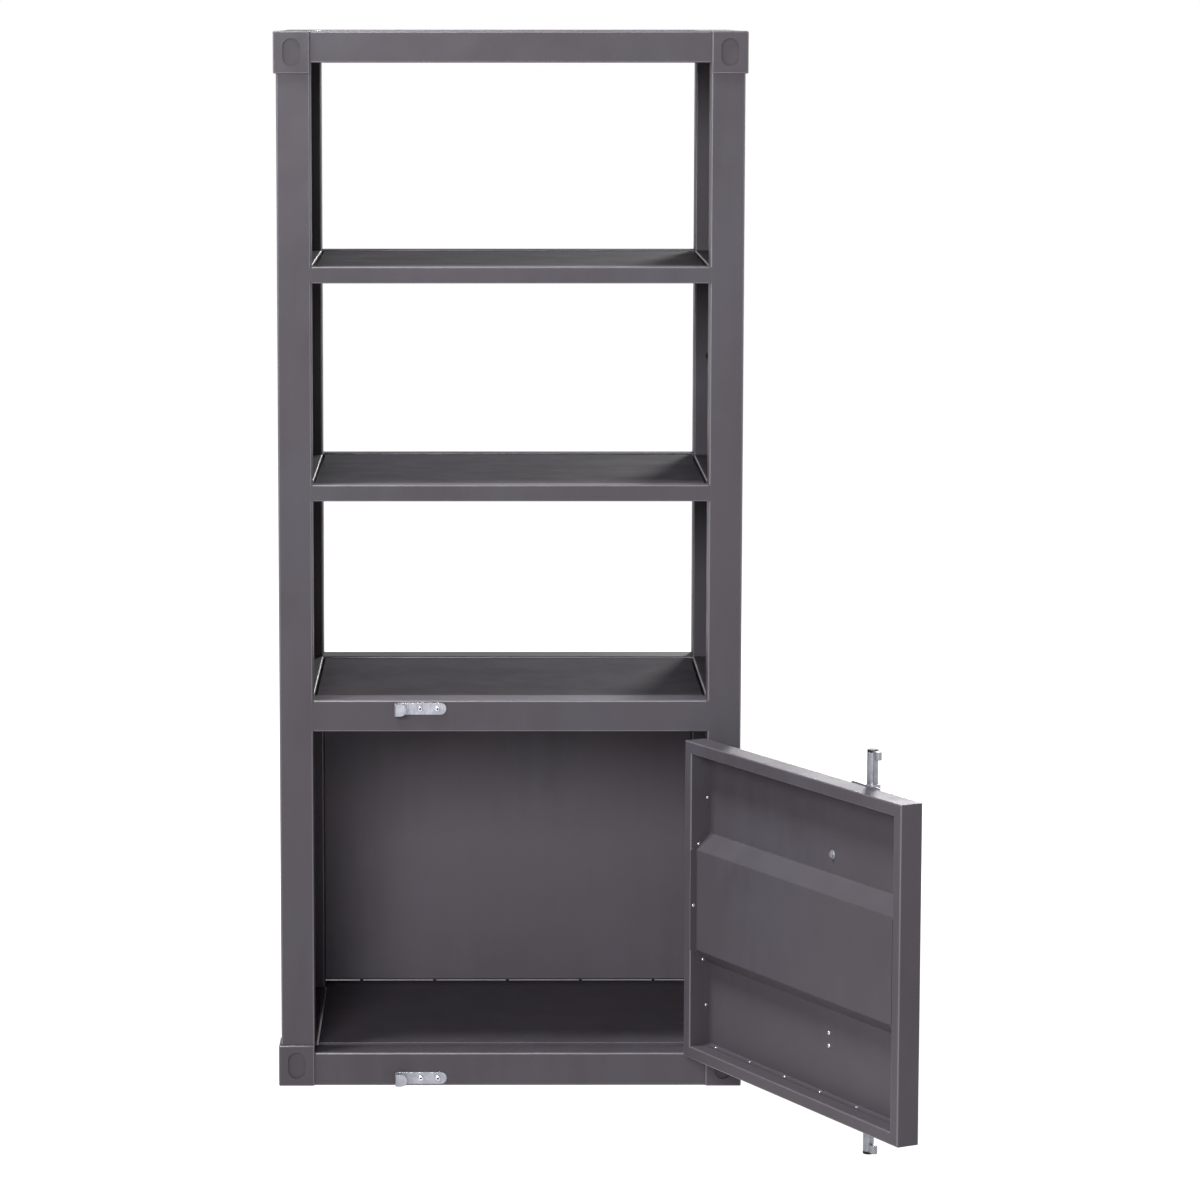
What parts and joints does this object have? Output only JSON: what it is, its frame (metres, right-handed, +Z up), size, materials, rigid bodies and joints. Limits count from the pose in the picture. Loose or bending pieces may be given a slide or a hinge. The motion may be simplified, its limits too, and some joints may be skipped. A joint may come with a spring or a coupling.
{
  "type": "metal bookcase cabinet",
  "caption": "Tall painted-metal bookcase in the style of a shipping container, with open shelf bays over a cabinet whose hinged door carries a turning lock bar.",
  "frame": {"origin": "on the floor, at the middle of the front base rail's underside", "axes": "+X to the right seen from the front, +Y to the back, +Z up"},
  "size_m": [0.924, 1.0404, 1.606],
  "materials": {
    "gunmetal_paint": "satin gunmetal grey paint with a faint cloudy tone",
    "zinc_plate": "pale silver zinc plate or silver paint, satin",
    "black_trim": "matt black"
  },
  "bodies": {
    "carcass": {"post_front_left": "gunmetal_paint", "post_front_right": "gunmetal_paint", "post_rear_left": "gunmetal_paint", "post_rear_right": "gunmetal_paint", "casting_top_front_left": "gunmetal_paint", "casting_top_front_right": "gunmetal_paint", "casting_top_rear_left": "gunmetal_paint", "casting_top_rear_right": "gunmetal_paint", "casting_base_front_left": "gunmetal_paint", "casting_base_front_right": "gunmetal_paint", "casting_base_rear_left": "gunmetal_paint", "casting_base_rear_right": "gunmetal_paint", "top_rail_front": "gunmetal_paint", "top_rail_rear": "gunmetal_paint", "top_side_rails": "gunmetal_paint", "upper_shelf_rail_front": "gunmetal_paint", "upper_shelf_rail_rear": "gunmetal_paint", "upper_shelf_side_rails": "gunmetal_paint", "lower_shelf_rail_front": "gunmetal_paint", "lower_shelf_rail_rear": "gunmetal_paint", "lower_shelf_side_rails": "gunmetal_paint", "cabinet_rail_front": "gunmetal_paint", "cabinet_rail_rear": "gunmetal_paint", "cabinet_side_rails": "gunmetal_paint", "base_rail_front": "gunmetal_paint", "base_rail_rear": "gunmetal_paint", "base_side_rails": "gunmetal_paint", "top_panel": "gunmetal_paint", "upper_shelf_panel": "gunmetal_paint", "lower_shelf_panel": "gunmetal_paint", "cabinet_top_panel": "gunmetal_paint", "cabinet_floor_panel": "gunmetal_paint", "side_panels_upper": "gunmetal_paint", "side_panels_lower": "gunmetal_paint", "cabinet_back_panel": "gunmetal_paint", "back_panel_screws": "black_trim", "keeper_upper": "zinc_plate", "keeper_lower": "zinc_plate", "keeper_screws": "zinc_plate", "hinge_post_leaves": "gunmetal_paint", "hinge_pins": "zinc_plate"},
    "door": {"door_hinge_stile": "gunmetal_paint", "door_free_stile": "gunmetal_paint", "door_top_rail": "gunmetal_paint", "door_bottom_rail": "gunmetal_paint", "door_skin": "gunmetal_paint", "door_skin_screws": "zinc_plate", "hinge_door_leaves": "gunmetal_paint", "handle_retainer": "zinc_plate", "retainer_screws": "zinc_plate", "guide_bracket_upper": "zinc_plate", "guide_bracket_lower": "zinc_plate", "guide_bolts": "zinc_plate", "pull_knob": "zinc_plate", "knob_screw": "zinc_plate"},
    "lock_bar_assembly": {"lock_bar": "zinc_plate", "bar_lugs": "zinc_plate", "bar_end_caps": "black_trim", "lock_handle": "zinc_plate"}
  },
  "joints": [
    {"name": "door_hinge", "type": "hinge", "parent": "carcass", "child": "door", "pos_m": [0.298, -0.0291, 0.297], "axis": [0, 0, 1], "range_deg": [-117.6, 52.4]},
    {"name": "lock_bar_turn", "type": "hinge", "parent": "door", "child": "lock_bar_assembly", "pos_m": [0.51275, -0.42067, 0.298], "axis": [0, 0, -1], "range_deg": [0, 180]}
  ]
}
